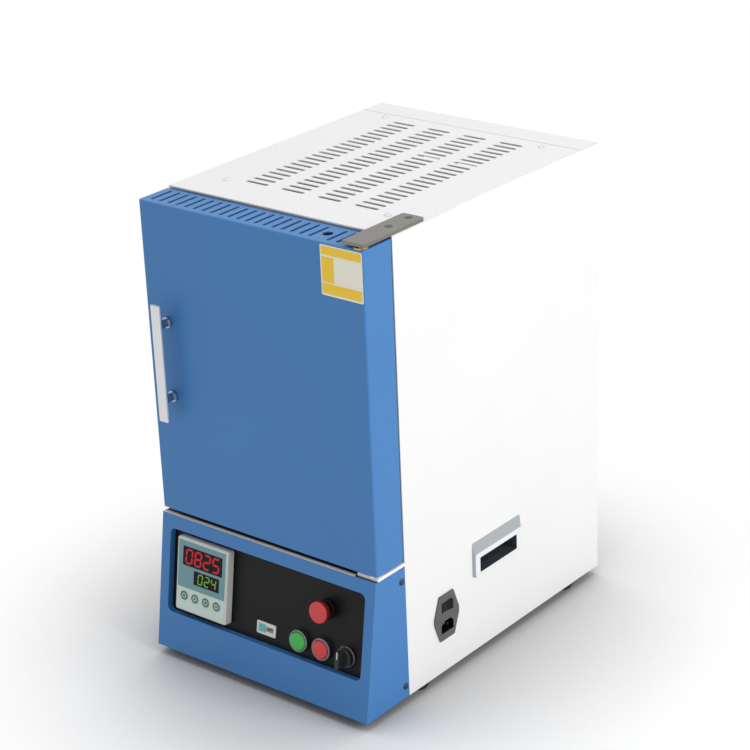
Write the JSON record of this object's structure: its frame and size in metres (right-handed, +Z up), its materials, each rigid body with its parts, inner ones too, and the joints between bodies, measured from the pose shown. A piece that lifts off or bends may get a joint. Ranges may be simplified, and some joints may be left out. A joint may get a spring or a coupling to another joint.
{
  "type": "muffle furnace",
  "caption": "Bench muffle furnace with a side-hinged insulated door, sloping control panel, vented top cover and a square fibre-lined heating chamber.",
  "frame": {"origin": "on the floor that the rubber feet stand on, below the middle of the whole furnace", "axes": "+X to the right of a person facing the door, +Y from the door to the back, +Z up"},
  "size_m": [0.3466, 0.4924, 0.603],
  "materials": {
    "white_enamel": "white powder coat, semi-gloss",
    "grey_steel": "light grey powder coat",
    "cover_steel": "satin zinc-coated sheet",
    "bright_steel": "bright plated steel",
    "dark_steel": "dull steel",
    "handle_metal": "satin aluminium",
    "fascia_black": "black, satin",
    "controller_grey": "pale grey moulding",
    "controller_teal": "teal face sheet",
    "lens_dark": "dark display lens",
    "key_white": "white keys",
    "port_white": "white moulding",
    "red_cap": "red moulding",
    "green_cap": "green moulding",
    "ring_metal": "bright ring",
    "black_plastic": "black moulding",
    "grip_grey": "light grey moulding",
    "brass_blade": "brass",
    "foot_rubber": "black rubber",
    "fibre_board": null,
    "hearth_ceramic": null,
    "element_grey": "oxidised heating coil",
    "seal_fibre": "woven ceramic fibre tape",
    "sheath_ceramic": null,
    "fin_aluminium": "raw aluminium",
    "magnet_dark": "dark magnet in a black shell",
    "screw_steel": "plated screws"
  },
  "bodies": {
    "furnace": {"side_panel_left": "white_enamel", "side_panel_right": "white_enamel", "top_cover": "cover_steel", "rear_panel": "white_enamel", "base_plate": "cover_steel", "deck_plate": "grey_steel", "feet": "foot_rubber", "case_screws": "screw_steel", "front_frame": "cover_steel", "catch_magnet": "magnet_dark", "mouth_collar": "fibre_board", "heating_elements": "element_grey", "wall_boards": "fibre_board", "hearth_board": "fibre_board", "roof_board": "fibre_board", "back_board": "fibre_board", "hearth_plate": "hearth_ceramic", "thermocouple_sheath": "sheath_ceramic", "thermocouple_head": "dark_steel", "muffle_jacket": "cover_steel", "jacket_rails": "cover_steel", "control_housing": "white_enamel", "fascia_panel": "fascia_black", "controller_case": "controller_grey", "controller_face": "controller_teal", "display_lenses": "lens_dark", "data_port": "port_white", "start_button_base": "ring_metal", "stop_button_base": "ring_metal", "estop_base": "ring_metal", "selector_base": "ring_metal", "power_inlet": "black_plastic", "inlet_blades": "brass_blade", "inlet_screws": "screw_steel", "grip_cups": "grip_grey", "grip_pockets": "black_plastic", "hinge_plate_top": "grey_steel", "hinge_plate_bottom": "grey_steel", "hinge_pins": "bright_steel", "hinge_screws": "screw_steel", "heat_sink": "fin_aluminium", "power_relay": "black_plastic", "terminal_block": "port_white"},
    "door": {"door_shell": "white_enamel", "door_liner": "cover_steel", "door_plug": "fibre_board", "door_seal": "seal_fibre", "handle_bar": "handle_metal", "handle_posts": "bright_steel", "hinge_bushes": "brass_blade"},
    "start_button": {"start_button_cap": "green_cap"},
    "stop_button": {"stop_button_cap": "red_cap"},
    "selector": {"selector_knob": "black_plastic"},
    "rocker": {"inlet_rocker": "black_plastic"},
    "stop_stem": {"estop_stem": "dark_steel"},
    "stop_head": {"estop_head": "red_cap"},
    "key_1": {"controller_key_1": "key_white"},
    "key_2": {"controller_key_2": "key_white"},
    "key_3": {"controller_key_3": "key_white"},
    "key_4": {"controller_key_4": "key_white"}
  },
  "joints": [
    {"name": "door_hinge", "type": "hinge", "parent": "furnace", "child": "door", "pos_m": [0.16, -0.20625, 0.39675], "axis": [0, 0, 1], "range_deg": [0, 150]},
    {"name": "start_push", "type": "slide", "parent": "furnace", "child": "start_button", "axis": [0, 0.9877, -0.1564], "range_m": [0, 0.003], "stiffness_N_per_m": 400},
    {"name": "stop_push", "type": "slide", "parent": "furnace", "child": "stop_button", "axis": [0, 0.9877, -0.1564], "range_m": [0, 0.003], "stiffness_N_per_m": 400},
    {"name": "selector_turn", "type": "hinge", "parent": "furnace", "child": "selector", "pos_m": [0.1265, -0.22936, 0.08093], "axis": [0, -0.9877, 0.1564], "range_deg": [-45, 45]},
    {"name": "emergency_push", "type": "slide", "parent": "furnace", "child": "stop_stem", "axis": [0, 0.9877, -0.1564], "range_m": [0, 0.004], "stiffness_N_per_m": 1500},
    {"name": "emergency_twist", "type": "hinge", "parent": "stop_stem", "child": "stop_head", "pos_m": [0.093, -0.22652, 0.13211], "axis": [0, -0.9877, 0.1564], "range_deg": [-30, 0], "stiffness_Nm_per_rad": 0.05},
    {"name": "rocker_tilt", "type": "hinge", "parent": "furnace", "child": "rocker", "pos_m": [0.1695, -0.08775, 0.101], "axis": [0, 0, 1], "range_deg": [0, 14]},
    {"name": "key_1_push", "type": "slide", "parent": "furnace", "child": "key_1", "axis": [0, 0.9877, -0.1564], "range_m": [0, 0.0008], "stiffness_N_per_m": 300},
    {"name": "key_2_push", "type": "slide", "parent": "furnace", "child": "key_2", "axis": [0, 0.9877, -0.1564], "range_m": [0, 0.0008], "stiffness_N_per_m": 300},
    {"name": "key_3_push", "type": "slide", "parent": "furnace", "child": "key_3", "axis": [0, 0.9877, -0.1564], "range_m": [0, 0.0008], "stiffness_N_per_m": 300},
    {"name": "key_4_push", "type": "slide", "parent": "furnace", "child": "key_4", "axis": [0, 0.9877, -0.1564], "range_m": [0, 0.0008], "stiffness_N_per_m": 300}
  ]
}
